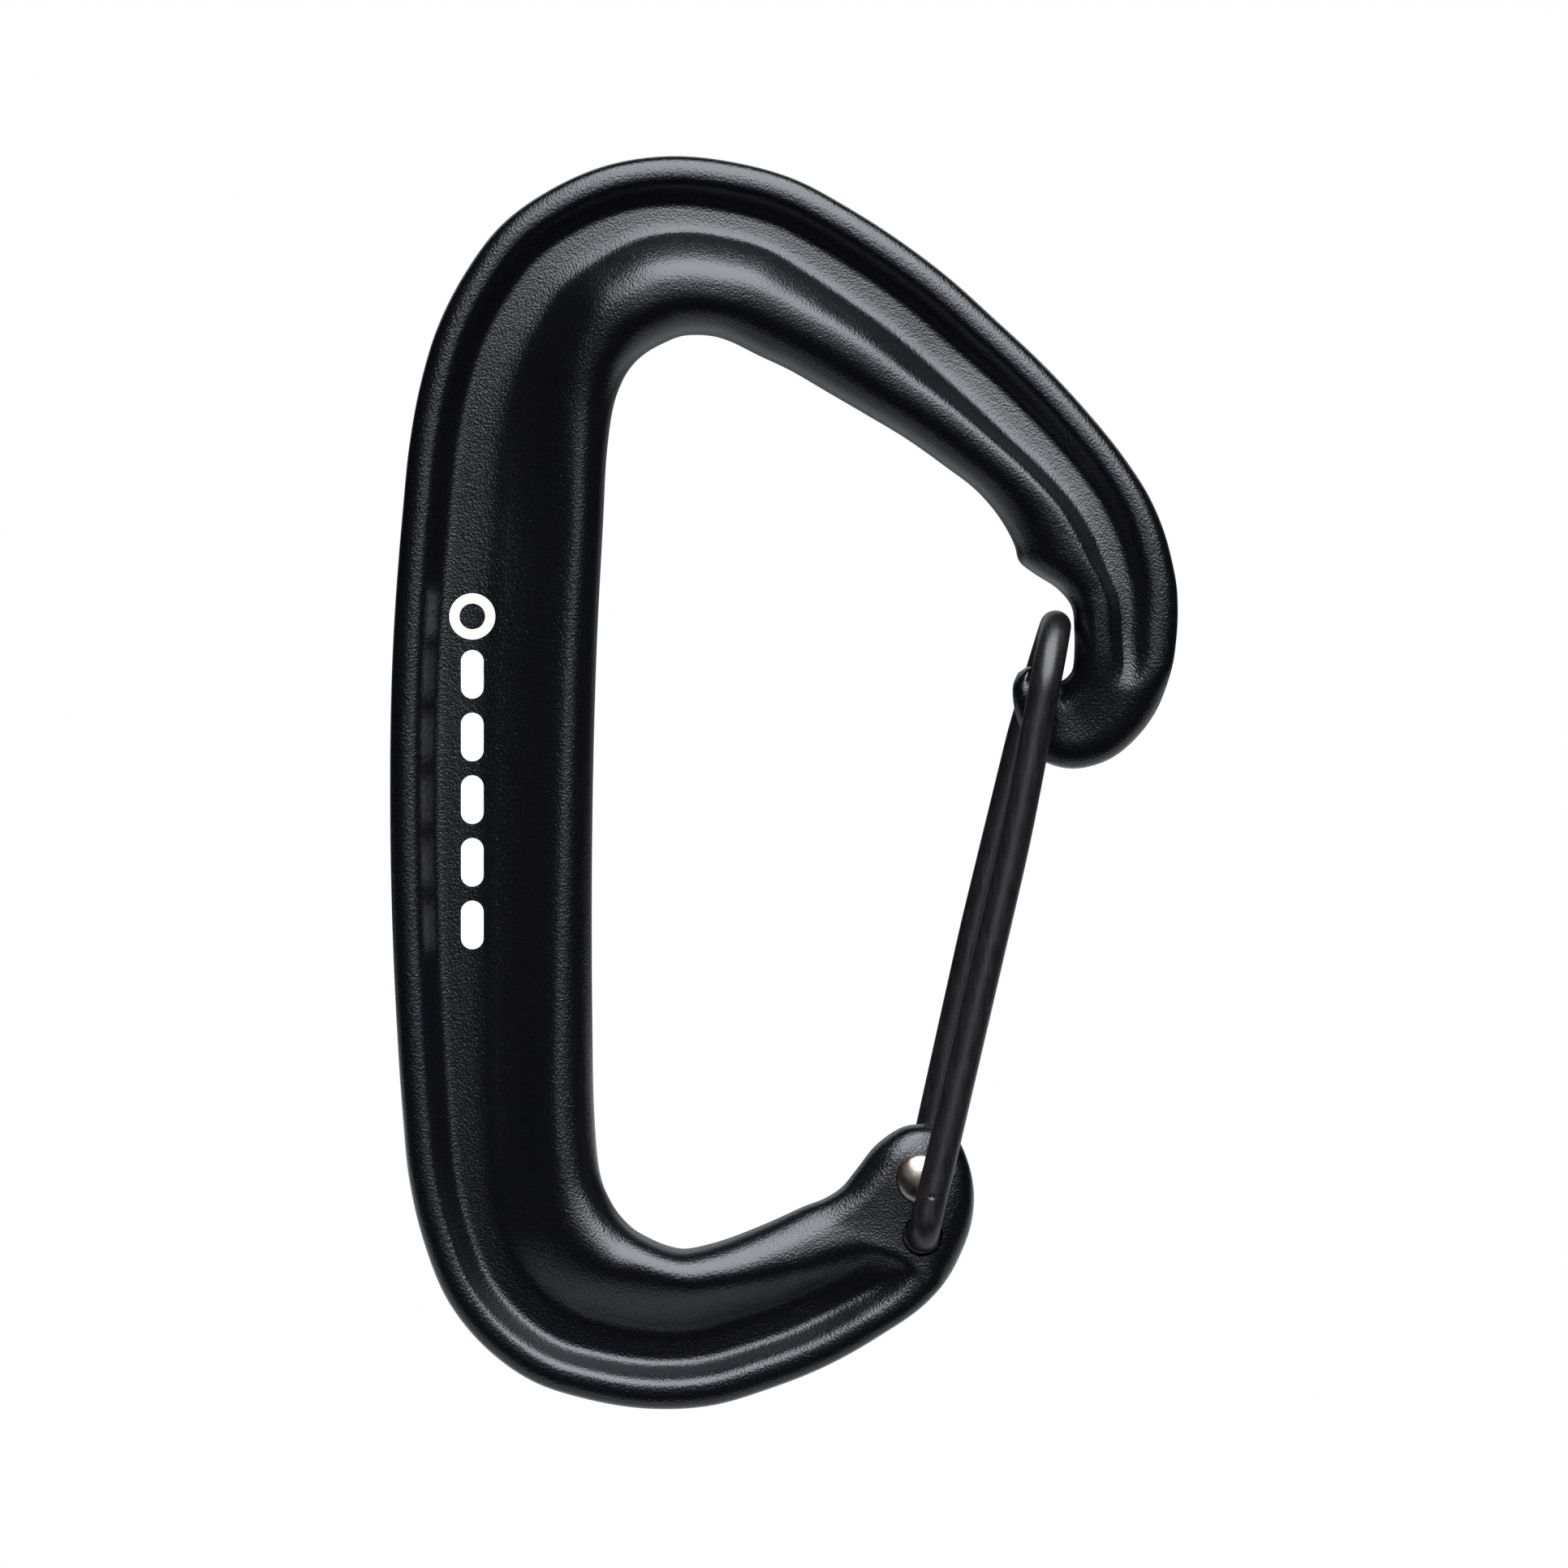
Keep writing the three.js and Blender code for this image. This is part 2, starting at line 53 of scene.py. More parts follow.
BEAD_THICKNESS = 5.2
BEAD_CREST = 1.4
BEAD_WIDTH = 3.3
BEAD_DROP = 0.16
BEAD_ROOM = 0.9
CREST_ROOM = 0.4
BEAD_FULLNESS = 0.3
WEB_THICKNESS = 2.4
WEB_TILT = 0.12
WEB_FILLET = 0.2
FILLET_POWER = 5
CHANNEL_FADE = 0.3
FLANGE_RUN = 0.5
FLANGE_FULLNESS = 0.75
RIM_WIDTH = 2
RIM_FULLNESS = 0.5
LUG_THICKNESS = 5.0
CHEEK = LUG_THICKNESS / 2
BARB_THICKNESS = 3.6
BLADE_STEP = 0.4
BLADE_THICKNESS = BARB_THICKNESS + BLADE_STEP
WIRE_RADIUS = 1.0
HOLE_CLEARANCE = 0.25
SEAT_CLEARANCE = 0.2

# Places in the plane of the bar, x and z: the front and rear holes of the lug, and where the gate meets
# the nose.
PIVOT = (14.5, -57.5)
REAR_PIVOT = (14.4, -53.9)
SEAT = (23.0, -18.6)
POCKET_WALL = SEAT[0] + WIRE_RADIUS + SEAT_CLEARANCE

# Stations along the bar, from the tip of the lug round to the tip of the barb:
# outer edge x, z; inner edge x, z; distance from the outer edge to the foot of the flange and to its
# crest; slope of the flange at its foot; width of its outer round; thickness of the bar; depth of its
# channel, from 0 to 1.
LUG = [
    [15.2, -50.4, 14.6, -50.4, 0.2, 0.4, 0.4, 0.1, 0.8, 0],
    [16.5, -51.1, 13.3, -50.6, 1.2, 1.8, 0.4, 0.5, 0.68 * LUG_THICKNESS, 0],
    [17.4, -52.8, 11.6, -51.7, 2.5, 4, 0.4, 1, 0.95 * LUG_THICKNESS, 0],
    [17.8, -54.9, 10.3, -53.3, 3.5, 5.5, 0.4, 1.1, LUG_THICKNESS, 0],
    [17.6, -56.9, 9.3, -54.5, 4, 6.5, 0.6, 1.1, LUG_THICKNESS, 0],
    [17, -58.6, 8.2, -55.2, 4.4, 7.2, 0.9, 1.1, LUG_THICKNESS, 0],
    [16.1, -60.3, 6.9, -55.7, 4.7, 7.7, 1.1, 1.1, LUG_THICKNESS + 0.1, 0.08],
    [14.9, -61.7, 5.6, -56.3, 5, 8.1, 1.1, 1.1, LUG_THICKNESS + 0.5, 0.55],
]
BASKET = [
    [11.7, -64, 3.5, -57.2, 5.1, 8.2, 0.9, 0.9, 6.2, 0.95],
    [8.3, -65.9, 1.9, -57.8, 5.1, 8.1, 0.85, 0.9, 6.8, 1],
    [4.8, -67.3, 0.5, -58.2, 5.1, 8.1, 0.85, 0.9, 7.3, 1],
    [1, -68.4, -0.7, -58.4, 5.1, 8.3, 0.85, 0.9, 7.6, 1],
    [-3, -68.6, -1.8, -58.2, 5.2, 8.7, 0.85, 0.9, 7.7, 1],
    [-6.9, -68, -3, -57.7, 5.3, 9.1, 0.8, 0.9, 7.6, 1],
    [-10.5, -66.8, -4, -57.1, 5.4, 9.3, 0.75, 1, 7.4, 1],
    [-13.3, -64.8, -4.8, -56.3, 5.4, 9.6, 0.7, 1, 7.2, 1],
    [-15.7, -61.9, -5.4, -55.4, 5.4, 9.8, 0.6, 1.1, 7, 1],
    [-17.4, -57.8, -6, -54, 5.4, 9.8, 0.45, 1, 6.8, 1],
]
SPINE = [
    [-18.3, -53.9, -6.3, -52.2, 5.6, 9.9, 0.3, 1, 6.8, 1],
    [-18.7, -49.9, -6.5, -49.1, 5.8, 10, 0.25, 1, 6.8, 1],
    [-19.1, -43.8, -6.6, -43.7, 6.1, 10.4, 0.25, 0.9, 6.8, 1],
    [-19.5, -31.6, -6.6, -31.6, 6.5, 11.1, 0.25, 0.9, 6.8, 1],
    [-19.3, -19.3, -6.3, -19.6, 6.6, 11.3, 0.25, 0.9, 6.8, 1],
    [-18.7, -11.2, -5.9, -11.8, 6.5, 11.2, 0.25, 1, 6.9, 1],
]
CROWN = [
    [-18.3, -7.2, -5.7, -7.9, 6.3, 10.9, 0.35, 1.1, 7, 1],
    [-17.6, -3.3, -5.3, -4.8, 6.1, 10.4, 0.5, 1.2, 7.2, 1],
    [-16.5, 0.4, -4.7, -3, 6, 10, 0.75, 1.3, 7.6, 1],
    [-14.8, 3.8, -4, -1.9, 5.9, 9.8, 1, 1.4, 8, 1],
    [-12.4, 7, -3.1, -1.1, 5.7, 9.6, 1.25, 1.4, 8.4, 1],
    [-9.2, 9.3, -2, -0.5, 5.5, 9.4, 1.4, 1.4, 8.7, 1],
    [-5.7, 10.8, -1, -0.1, 5.2, 9.1, 1.5, 1.4, 8.8, 1],
    [-1.7, 11.4, 0, 0, 5, 8.8, 1.5, 1.4, 8.8, 1],
    [2.5, 11, 1.2, -0.1, 4.9, 8.6, 1.5, 1.4, 8.7, 1],
    [6.4, 9.9, 2.4, -0.5, 4.9, 8.4, 1.45, 1.5, 8.5, 1],
]
ARM = [
    [9.6, 8.2, 4, -1.3, 5, 8.2, 1.4, 1.5, 8.2, 1],
    [12.9, 6.1, 6.1, -2.3, 5.1, 8, 1.35, 1.5, 7.9, 1],
    [16.1, 3.7, 8.5, -3.7, 5.1, 7.8, 1.3, 1.5, 7.6, 1],
    [19.1, 1, 10.9, -5.1, 5.1, 7.6, 1.25, 1.5, 7.3, 1],
    [22.1, -1.8, 13.4, -6.6, 5.2, 7.3, 1.2, 1.4, 7, 0.9],
    [24.9, -4.8, 15.8, -8.3, 5.2, 7, 1.2, 1.2, 6.8, 0.8],
    [27.4, -7.9, 18.1, -10.1, 5, 6.7, 1.1, 1.1, 6.7, 0.7],
    [29, -10.4, 19.5, -11.8, 4.8, 6.4, 1.1, 1, 6.6, 0.62],
]
NOSE = [
    [30, -12.8, 20.4, -13.5, 4.6, 6.2, 1.1, 0.9, 6.5, 0.55],
    [30.4, -14.3, 20.7, -14.5, 4.5, 6, 1.1, 0.9, 6.4, 0.51],
    [30.7, -15.8, 21.7, -15.3, 4.3, 5.7, 1.1, 0.9, 6.2, 0.47],
    [30.8, -17.1, 23.1, -16.2, 4, 5.5, 1.1, 0.9, 6, 0.43],
    [30.8, -18.2, 24, -17.3, 3.8, 5.3, 1.1, 0.9, 5.9, 0.4],
    [30.7, -19.6, POCKET_WALL, -18.9, 3.6, 5.1, 1.1, 0.9, 5.7, 0.36],
    [30.5, -21, POCKET_WALL, -20.3, 3.3, 4.8, 1, 0.9, 5.5, 0.28],
    [30.1, -22.4, POCKET_WALL - 0.1, -21.3, 3, 4.5, 1, 0.9, 5.2, 0.18],
    [29.5, -23.9, 23.8, -21.8, 2.7, 4.3, 0.8, 1, 4.9, 0.06],
    [28.4, -25.5, 23.4, -22.1, 2.4, 4, 0.6, 1, 4.6, 0],
    [26.3, -27.2, 22.9, -22.3, 2, 3.8, 0.4, 1, 1.05 * BLADE_THICKNESS, 0],
    [23.7, -27.7, 22.4, -22.3, 1.9, 3.5, 0.4, 1, BLADE_THICKNESS, 0],
    [21.7, -26.9, 22, -22.2, 1.8, 3, 0.4, 1, BARB_THICKNESS, 0],
    [20.7, -25, 21.8, -21.8, 1.2, 2, 0.4, 0.6, BARB_THICKNESS, 0],
    [20.3, -23.4, 21.7, -21.5, 0.6, 1, 0.4, 0.3, 0.95 * BARB_THICKNESS, 0],
    [20.3, -22.3, 21.5, -21.2, 0.6, 1, 0.4, 0.3, 0.75 * BARB_THICKNESS, 0],
    [20.6, -21.6, 21.2, -21.2, 0.1, 0.3, 0.4, 0.1, 0.3 * BARB_THICKNESS, 0],
]
STATIONS = LUG + BASKET + SPINE + CROWN + ARM + NOSE

# Fineness of the visible surfaces.
RING_STEP = 0.4
RIM_STEPS = 14
BEAD_STEPS = 12
WEB_STEPS = 10
FLANGE_STEPS = 20
WIRE_SIDES = 48
WIRE_STEP = 0.4
ROUND_SIDES = 64

# Edges that turn more than this stay sharp.
SHARP_ANGLE = math.radians(40)


def mix(start, end, share):
    return start + (end - start) * share


def smoother(share):
    """A share from 0 to 1, eased at both ends."""
    return share ** 3 * (10 - 15 * share + 6 * share * share)


# ---- The forged frame: the CAD's loft, with many more rings and a finer section

def rim_curve(width, half, fullness):
    """A rounded edge, from the middle of its wall up to the face. The lower its fullness, the squarer."""
    angles = np.linspace(0, math.pi / 2, RIM_STEPS + 1)
    return np.column_stack([width * (1 - np.cos(angles)), half * np.sin(angles) ** fullness])


def inner_rim(width, half, crest):
    """The rounded edge on the inside of the bar, from the crest to the middle of its wall."""
    curve = rim_curve(width - crest, half, FLANGE_FULLNESS)[-2::-1]
    return np.column_stack([width - curve[:, 0], curve[:, 1]])


def plain_section(width, half, crest):
    """Half a section of the bar where it has no channel: two flat faces between rounded edges."""
    rim = min(RIM_WIDTH, crest)
    flat_steps = BEAD_STEPS + WEB_STEPS + FLANGE_STEPS
    flat = np.column_stack([np.linspace(rim, crest, flat_steps + 1)[1:], np.full(flat_steps, half)])
    return np.vstack([rim_curve(rim, half, RIM_FULLNESS), flat, inner_rim(width, half, crest)])


def beam_section(width, half, foot, crest, start, round_width, channel):
    """Half a section of the bar with its channel: bead, web, flange and inner rim."""
    bead_half = min(BEAD_THICKNESS / 2, half * (1 - BEAD_DROP * channel))
    bead_end = min(BEAD_WIDTH, BEAD_ROOM * foot)
    bead_crest = min(BEAD_CREST, CREST_ROOM * bead_end)
    web_half = mix(bead_half, WEB_THICKNESS / 2, channel)
    tilt = WEB_TILT * (foot - bead_end)
    fillet = WEB_FILLET * max(channel, 0)
    foot_half = web_half + tilt + fillet
    outer = rim_curve(bead_crest, bead_half, BEAD_FULLNESS)
    share = np.linspace(0, 1, BEAD_STEPS + 1)[1:]
    bead = np.column_stack([mix(bead_crest, bead_end, share), mix(bead_half, web_half, smoother(share))])
    share = np.linspace(0, 1, WEB_STEPS + 1)[1:]
    web_rise = tilt * share + fillet * share ** FILLET_POWER
    web = np.column_stack([mix(bead_end, foot, share), web_half + web_rise])
    corners = np.array([
        [foot, foot_half],
        [mix(foot, crest, FLANGE_RUN), min(foot_half + FLANGE_RUN * start * (crest - foot), half)],
        [crest - round_width, half],
        [crest, half],
    ])
    share = np.linspace(0, 1, FLANGE_STEPS + 1)[1:, None]
    slope = ((1 - share) ** 3 * corners[0] + 3 * (1 - share) ** 2 * share * corners[1]
             + 3 * (1 - share) * share ** 2 * corners[2] + share ** 3 * corners[3])
    return np.vstack([outer, bead, web, slope, inner_rim(width, half, crest)])


def bar_ring(station):
    """The full section at a station: its half section in front, and the mirror of it behind."""
    outer_edge = station[0:2]
    inner_edge = station[2:4]
    foot, crest, start, round_width, thickness, channel = station[4:10]
    width = np.linalg.norm(inner_edge - outer_edge)
    plain = plain_section(width, thickness / 2, crest)
    beam = beam_section(width, thickness / 2, foot, crest, start, round_width, channel)
    section = mix(plain, beam, smoother(min(max(channel, 0) / CHANNEL_FADE, 1)))
    spots = outer_edge + (inner_edge - outer_edge) * (section[:, 0:1] / width)
    front = np.column_stack([spots[:, 0], -section[:, 1], spots[:, 1]])
    back = front[-2:0:-1] * (1, -1, 1)
    return np.vstack([front, back])


def bar_rings():
    """Sections along the whole bar, on a smooth curve through the stations."""
    stations = np.array(STATIONS, float)
    outer_gaps = np.linalg.norm(np.diff(stations[:, 0:2], axis=0), axis=1)
    inner_gaps = np.linalg.norm(np.diff(stations[:, 2:4], axis=0), axis=1)
    gaps = np.maximum(outer_gaps, inner_gaps)
    rises = np.diff(stations, axis=0) / gaps[:, None]
    slopes = np.empty_like(stations)
    slopes[0] = rises[0]
    slopes[-1] = rises[-1]
    back = gaps[:-1, None]
    ahead = gaps[1:, None]
    slopes[1:-1] = (rises[:-1] * ahead + rises[1:] * back) / (back + ahead)
    rings = [bar_ring(stations[0])]
    for at, gap in enumerate(gaps):
        steps = max(1, round(gap / RING_STEP))
        for share in np.linspace(0, 1, steps + 1)[1:]:
            square = share ** 2
            cube = share ** 3
            values = ((2 * cube - 3 * square + 1) * stations[at]
                      + (cube - 2 * square + share) * gap * slopes[at]
                      + (3 * square - 2 * cube) * stations[at + 1]
                      + (cube - square) * gap * slopes[at + 1])
            rings.append(bar_ring(values))
    return rings


def loft(name, rings):
    """A closed mesh through rings of points, each given in millimetres, with flat ends."""
    count = len(rings[0])
    points = np.vstack(rings) * MM
    faces = []
    for ring in range(len(rings) - 1):
        for side in range(count):
            here = ring * count + side
            beside = ring * count + (side + 1) % count
            faces.append((here, beside, beside + count, here + count))
    last = (len(rings) - 1) * count
    faces.append(tuple(range(count))[::-1])
    faces.append(tuple(range(last, last + count)))
    mesh = bpy.data.meshes.new(name)
    mesh.from_pydata(points.tolist(), [], faces)
    if signed_volume(mesh) < 0:
        mesh.flip_normals()
    mesh.shade_smooth()
    mesh.set_sharp_from_angle(angle=SHARP_ANGLE)
    piece = bpy.data.objects.new(name, mesh)
    bpy.context.scene.collection.objects.link(piece)
    return piece


def signed_volume(mesh):
    """The volume of a closed mesh, below 0 where its faces point inwards."""
    mesh.calc_loop_triangles()
    count = len(mesh.loop_triangles)
    corners = np.empty(count * 3, int)
    mesh.loop_triangles.foreach_get("vertices", corners)
    spots = np.empty(len(mesh.vertices) * 3)
    mesh.vertices.foreach_get("co", spots)
    spots = spots.reshape(-1, 3)[corners.reshape(-1, 3)]
    return np.einsum("ij,ij->i", spots[:, 0], np.cross(spots[:, 1], spots[:, 2])).sum() / 6


def circle(centre, radius, y):
    """A ring of points round a centre in the plane of the bar, at one depth."""
    angles = np.linspace(0, 2 * math.pi, ROUND_SIDES, endpoint=False)
    return np.column_stack([
        centre[0] + radius * np.cos(angles),
        np.full(ROUND_SIDES, y),
        centre[1] + radius * np.sin(angles),
    ])


# The broken edge of the holes in the lug, and how far the drill reaches, in millimetres.
HOLE_CHAMFER = 0.1
CHAMFER_DEPTH = 0.08
CHAMFER_LIFT = 0.05
DRILL_REACH = 5


def hole_cutter(name, centre):
    """A drill with a broken edge at both cheeks of the lug."""
    radius = WIRE_RADIUS + HOLE_CLEARANCE
    wide = radius + HOLE_CHAMFER
    back = [(CHEEK - CHAMFER_DEPTH, radius), (CHEEK + CHAMFER_LIFT, wide), (DRILL_REACH, wide)]
    front = [(-depth, size) for depth, size in reversed(back)]
    return loft(name, [circle(centre, size, depth) for depth, size in front + back])


def drill(piece, cutter):
    """Cut a hole through a piece, and drop the cutter."""
    cut = piece.modifiers.new("drill", "BOOLEAN")
    cut.operation = "DIFFERENCE"
    cut.solver = "EXACT"
    cut.object = cutter
    evaluated = piece.evaluated_get(bpy.context.evaluated_depsgraph_get())
    drilled = bpy.data.meshes.new_from_object(evaluated)
    piece.modifiers.clear()
    piece.data = drilled
    bpy.data.objects.remove(cutter)


def make_frame():
    piece = loft("forging", bar_rings())
    drill(piece, hole_cutter("front_drill", PIVOT))
    drill(piece, hole_cutter("rear_drill", REAR_PIVOT))
    piece.data.shade_smooth()
    piece.data.set_sharp_from_angle(angle=SHARP_ANGLE)
    return piece


# ---- The wire gate

FOOT_BEND_RADIUS = 1.15
LOOP_BEND_RADIUS = 4.4
LEG_BEND_RADIUS = 150
KNEE_BEND_RADIUS = 40

# How far each leg bows along x, in millimetres, and where, as a share of the way from its hole to the nose.
FRONT_LEG_BOW = 0.36
FRONT_BOW_SHARE = 0.65
REAR_LEG_BOW = -0.35
REAR_BOW_SHARE = 0.45

# How far the legs stand from the middle plane of the bar, at the lug and at the nose.
LUG_SIDE = 4.5
NOSE_SIDE = 4.5
LEG_LEAN = math.atan2(SEAT[0] - PIVOT[0], SEAT[1] - PIVOT[1])

# The seam between the two lengths of wire, as a distance from the rear hole, and the knee below it where the
# rear leg's bow ends.
SEAM_DISTANCE = 31.5
SEAM_SHARE = SEAM_DISTANCE / math.dist(SEAT, REAR_PIVOT)
KNEE_SETBACK = 0.06
KNEE_SHARE = SEAM_SHARE - KNEE_SETBACK
SEAM_BOW = REAR_LEG_BOW * (1 - SEAM_SHARE) / (1 - KNEE_SHARE)

# Steps along a bend: short ones of ARC_STEP in a tight bend, and a few long ones in a gentle bend.
ARC_STEP = 0.15
TIGHT_RADIUS = 10
TIGHT_STEPS = 4
GENTLE_STEPS = 8

# The headed ends of the wire: a dome that stands a little off the cheek and stops short of a point.
HEAD_RADIUS = 1.6
HEAD_HEIGHT = 0.72
HEAD_GAP = 0.02
HEAD_RINGS = 18
HEAD_TOP_ANGLE = 0.98 * math.pi / 2


def leg_point(foot, share, bow, side):
    """A point on a leg's centre line, at a share of the way from its hole to the nose."""
    x = mix(foot[0], SEAT[0], share) + bow
    z = mix(foot[1], SEAT[1], share)
    return Vector((x, side * mix(LUG_SIDE, NOSE_SIDE, share), z))


def bent_path(corners):
    """Centre line through corners [point, bend radius], each rounded by an arc."""
    path = [corners[0][0]]
    for at in range(1, len(corners) - 1):
        corner, radius = corners[at]
        inward = (corners[at - 1][0] - corner).normalized()
        outward = (corners[at + 1][0] - corner).normalized()
        turn = math.pi - inward.angle(outward)
        centre = corner + (inward + outward).normalized() * (radius / math.cos(turn / 2))
        start = corner + inward * (radius * math.tan(turn / 2)) - centre
        axis = outward.cross(inward).normalized()
        steps = GENTLE_STEPS
        if radius < TIGHT_RADIUS:
            steps = max(TIGHT_STEPS, math.ceil(turn * radius / ARC_STEP))
        path += [Quaternion(axis, turn * step / steps) @ start + centre for step in range(steps + 1)]
    path.append(corners[-1][0])
    return even_path(path)


def even_path(path):
    """The same line, with its long stretches split into steps of about WIRE_STEP."""
    even = [path[0]]
    for point in path[1:]:
        pieces = max(1, round((point - even[-1]).length / WIRE_STEP))
        start = even[-1]
        even += [start.lerp(point, step / pieces) for step in range(1, pieces + 1)]
    return even


def wire_rings(path):
    """Circles round the wire's centre line, each turned from the last without a twist."""
    angles = np.linspace(0, 2 * math.pi, WIRE_SIDES, endpoint=False)
    directions = []
    for at in range(len(path)):
        before = path[max(at - 1, 0)]
        after = path[min(at + 1, len(path) - 1)]
        directions.append((after - before).normalized())
    across = Vector((0, 0, 1)).cross(directions[0]).normalized()
    rings = []
    for at, point in enumerate(path):
        across = directions[max(at - 1, 0)].rotation_difference(directions[at]) @ across
        up = directions[at].cross(across)
        rings.append(np.array([
            point + across * (WIRE_RADIUS * math.cos(angle)) + up * (WIRE_RADIUS * math.sin(angle))
            for angle in angles
        ]))
    return rings


def make_front_wire():
    """From the front hole up the front leg, round the loop and down to the seam."""
    path = bent_path([
        [Vector((PIVOT[0], CHEEK, PIVOT[1]))],
        [leg_point(PIVOT, 0, 0, -1), FOOT_BEND_RADIUS],
        [leg_point(PIVOT, FRONT_BOW_SHARE, FRONT_LEG_BOW, -1), LEG_BEND_RADIUS],
        [leg_point(PIVOT, 1, 0, -1), LOOP_BEND_RADIUS],
        [leg_point(REAR_PIVOT, 1, 0, 1), LOOP_BEND_RADIUS],
        [leg_point(REAR_PIVOT, SEAM_SHARE, SEAM_BOW, 1)],
    ])
    return loft("wire_front_leg_and_loop", wire_rings(path))


def make_rear_wire():
    """From the rear hole up the rear leg to the seam."""
    path = bent_path([
        [Vector((REAR_PIVOT[0], -CHEEK, REAR_PIVOT[1]))],
        [leg_point(REAR_PIVOT, 0, 0, 1), FOOT_BEND_RADIUS],
        [leg_point(REAR_PIVOT, REAR_BOW_SHARE, REAR_LEG_BOW, 1), LEG_BEND_RADIUS],
        [leg_point(REAR_PIVOT, KNEE_SHARE, REAR_LEG_BOW, 1), KNEE_BEND_RADIUS],
        [leg_point(REAR_PIVOT, SEAM_SHARE, SEAM_BOW, 1)],
    ])
    return loft("wire_rear_leg", wire_rings(path))


def make_head(name, foot, side):
    """The end of the wire, hammered over into a dome on the cheek."""
    rings = []
    for lift in np.linspace(0, HEAD_TOP_ANGLE, HEAD_RINGS):
        height = CHEEK + HEAD_GAP + HEAD_HEIGHT * math.sin(lift)
        rings.append(circle(foot, HEAD_RADIUS * math.cos(lift), side * height))
    return loft(name, rings)


# ---- Materials

# The print on the spine, in millimetres.
MARK_X = -14.25
RING_Z = -18.0
RING_RADIUS = 1.15
RING_LINE = 0.65
DASH_TOP = -21.7
DASH_LENGTH = 3.1
DASH_GAP = 0.9
DASH_WIDTH = 1.45
DASH_COUNT = 5

# The small punch mark on the surface of the front leg, in millimetres, and the share of it that is flat.
PUNCH_MARK = (15.07, -5.41, -54.94)
PUNCH_RADIUS = 0.26
PUNCH_DEPTH = 0.14
PUNCH_FLAT = 0.3

# Black anodised forging, with its fine grain. A noise's scale counts its bumps per metre.
ANODISED_COLOUR = (0.0024, 0.0025, 0.0037, 1)
ANODISED_IOR = 1.62
ANODISED_ROUGHNESS = 0.22
GRAIN_SCALE = 7200
GRAIN_DEPTH = 0.036
PRINT_COLOUR = (0.80, 0.80, 0.79, 1)
PRINT_ROUGHNESS = 0.47

# Blackened wire: streaks drawn out along it, and broad patches that are duller. A tone is a place in the
# noise, from 0 to 1, and the colour there.
WIRE_TONES = ((0.35, (0.0045, 0.0038, 0.0042, 1)), (0.68, (0.012, 0.0102, 0.011, 1)))
WIRE_IOR = 1.6
WIRE_ROUGHNESS = (0.24, 0.44)
STREAK_SCALE = 6000
STREAK_SQUEEZE = 0.03
STREAK_DEPTH = 0.01
PATCH_SCALE = 900

# Bare steel of the heads.
STEEL_TONES = ((0.3, (0.36, 0.31, 0.27, 1)), (0.7, (0.50, 0.43, 0.38, 1)))
STEEL_ROUGHNESS = (0.2, 0.4)
WEAR_SCALE = 2500
WEAR_DETAIL = 3
WEAR_DEPTH = 0.01

# Sockets of a Mix node that carry its factor, its two colours and its result.
MIX_FACTOR = 0
MIX_FIRST = 6
MIX_SECOND = 7
MIX_RESULT = 2


def new_material(name):
    material = bpy.data.materials.new(name)
    material.use_nodes = True
    return material, material.node_tree.nodes, material.node_tree.links


def math_node(nodes, links, operation, first, second=None, third=None):
    """One step of arithmetic on numbers or on other nodes' outputs."""
    node = nodes.new("ShaderNodeMath")
    node.operation = operation
    for at, value in enumerate((first, second, third)):
        if isinstance(value, (int, float)):
            node.inputs[at].default_value = value
        elif value is not None:
            links.new(value, node.inputs[at])
    return node.outputs[0]


def between(nodes, links, share, low, high):
    """A number that goes from low to high as a share goes from 0 to 1."""
    return math_node(nodes, links, "MULTIPLY_ADD", share, high - low, low)


def noise(nodes, links, where, scale, detail=2):
    node = nodes.new("ShaderNodeTexNoise")
    node.inputs["Scale"].default_value = scale
    node.inputs["Detail"].default_value = detail
    links.new(where, node.inputs["Vector"])
    return node.outputs["Fac"]


def ramp(nodes, links, share, tones):
    """A colour that runs evenly between two tones."""
    node = nodes.new("ShaderNodeValToRGB")
    for element, (place, colour) in zip(node.color_ramp.elements, tones):
        element.position = place
        element.color = colour
    links.new(share, node.inputs["Fac"])
    return node.outputs["Color"]


def raised(nodes, links, height, depth, under=None):
    """The normal of a surface that rises by a depth in millimetres as its height goes from 0 to 1."""
    node = nodes.new("ShaderNodeBump")
    node.inputs["Strength"].default_value = 1
    node.inputs["Distance"].default_value = depth * MM
    links.new(height, node.inputs["Height"])
    if under is not None:
        links.new(under, node.inputs["Normal"])
    return node.outputs["Normal"]


